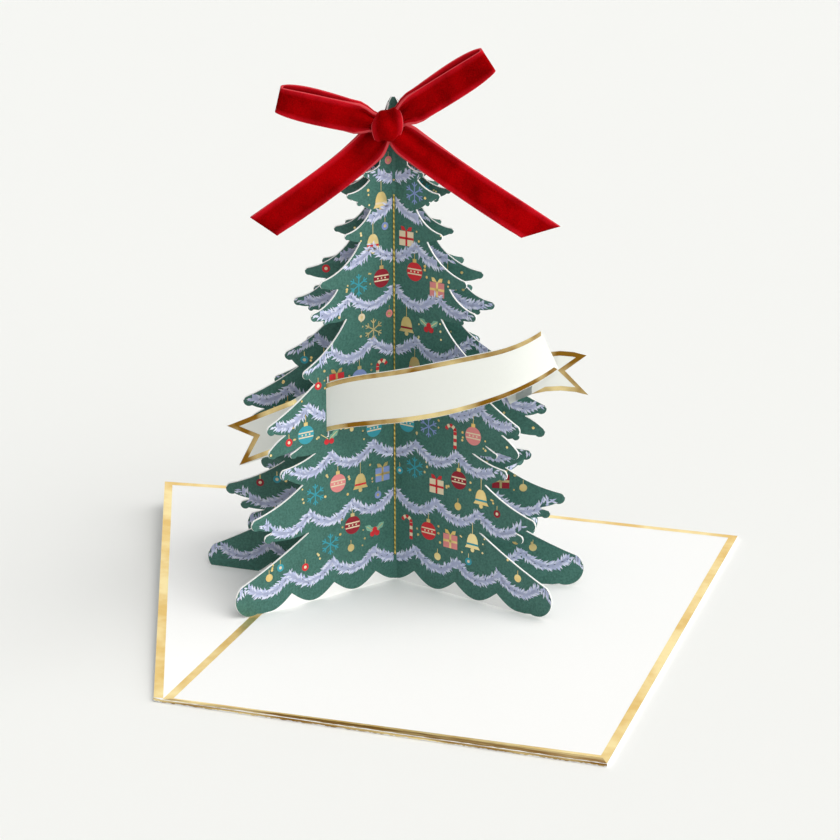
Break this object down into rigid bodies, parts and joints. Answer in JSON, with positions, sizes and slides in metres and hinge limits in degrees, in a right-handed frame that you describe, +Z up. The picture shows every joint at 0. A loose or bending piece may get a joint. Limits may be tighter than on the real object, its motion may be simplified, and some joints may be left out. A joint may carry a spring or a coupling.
{
  "type": "pop-up christmas card",
  "caption": "Folded white card with a free-standing, sewn paper Christmas tree, a slotted paper banner and a velvet ribbon bow.",
  "frame": {"origin": "underside of the floor leaf, straight below the tree's sewn spine", "axes": "+Z up from the table, -Y the front that the tree's open fold faces, +X to the right seen from the front"},
  "size_m": [0.226, 0.2461, 0.197],
  "materials": {
    "white_card": "smooth white card with gold foil borders",
    "green_card": "printed card, white at the cut edge",
    "gold_thread": "twisted metallic thread",
    "red_velvet": "short velvet pile"
  },
  "bodies": {
    "root": {"card_base": "white_card", "tree_front_sheet": "green_card", "tree_middle_sheet": "green_card", "tree_back_sheet": "green_card", "spine_thread": "gold_thread", "banner_band": "white_card", "banner_tail": "white_card", "velvet_bow": "red_velvet"}
  },
  "joints": []
}
